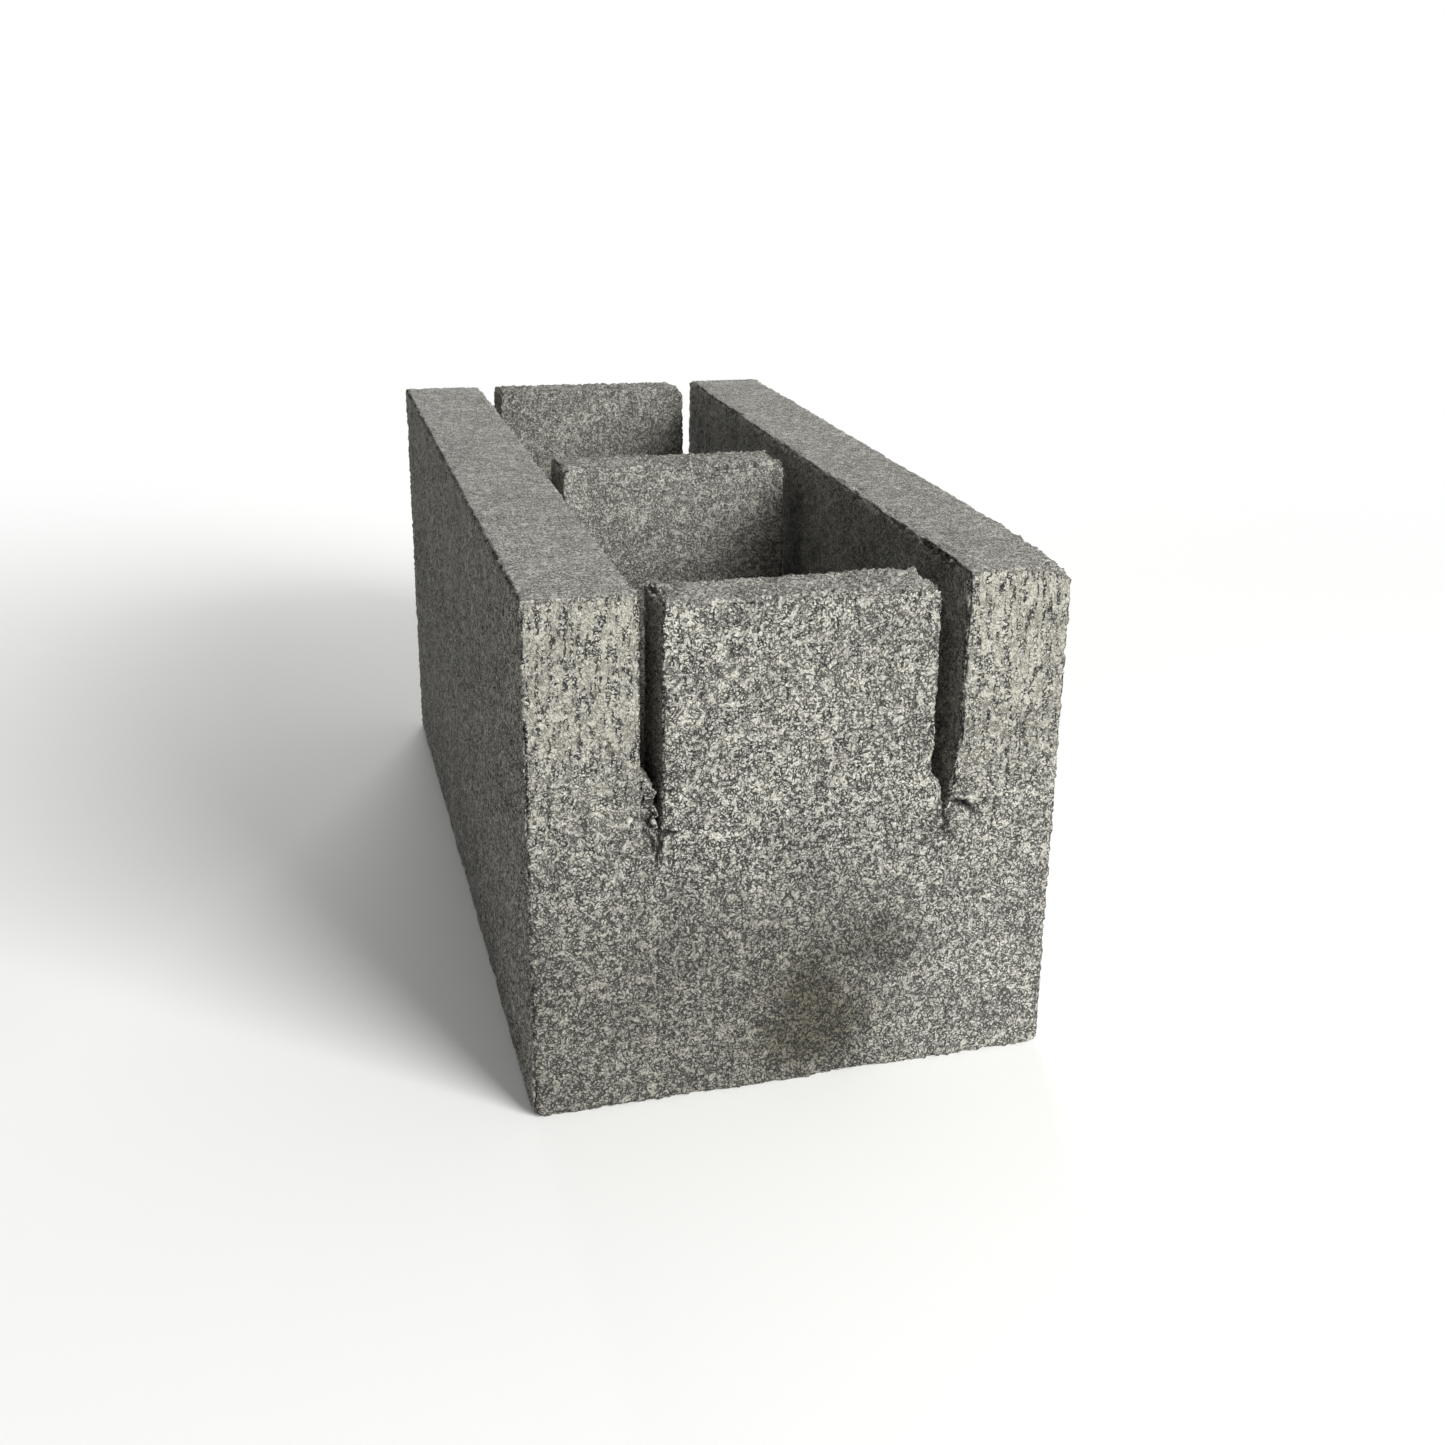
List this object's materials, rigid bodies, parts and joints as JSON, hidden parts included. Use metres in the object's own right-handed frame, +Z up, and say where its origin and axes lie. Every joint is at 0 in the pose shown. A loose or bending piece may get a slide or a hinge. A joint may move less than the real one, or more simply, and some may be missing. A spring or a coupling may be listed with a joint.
{
  "type": "knock-out bond beam concrete block",
  "caption": "Hollow concrete masonry block with open cores and break-out web panels, standing on the lower webs between tapered slots, that clear a channel for a horizontal bar.",
  "frame": {"origin": "centre of the block's bottom bed face, with the block standing slots-up", "axes": "+Z up, +Y along the block's length away from the front end, +X across the two face shells to the right as seen from the front end"},
  "size_m": [0.194, 0.4, 0.1905],
  "materials": {
    "concrete": "dry-cast zero-slump concrete, open-textured and grainy, light paste smears on the moulded faces",
    "knockout_concrete": "the same dry-cast concrete, with crumbly top edges and a rough broken foot"
  },
  "bodies": {
    "block": {"block_body": "concrete"},
    "front_web_knockout": {"front_knockout": "knockout_concrete"},
    "centre_web_knockout": {"centre_knockout": "knockout_concrete"},
    "rear_web_knockout": {"rear_knockout": "knockout_concrete"}
  },
  "joints": [
    {"name": "front_knockout_lift", "type": "slide", "parent": "block", "child": "front_web_knockout", "axis": [0, 0, 1], "range_m": [0, 0.11]},
    {"name": "centre_knockout_lift", "type": "slide", "parent": "block", "child": "centre_web_knockout", "axis": [0, 0, 1], "range_m": [0, 0.11]},
    {"name": "rear_knockout_lift", "type": "slide", "parent": "block", "child": "rear_web_knockout", "axis": [0, 0, 1], "range_m": [0, 0.11]}
  ]
}
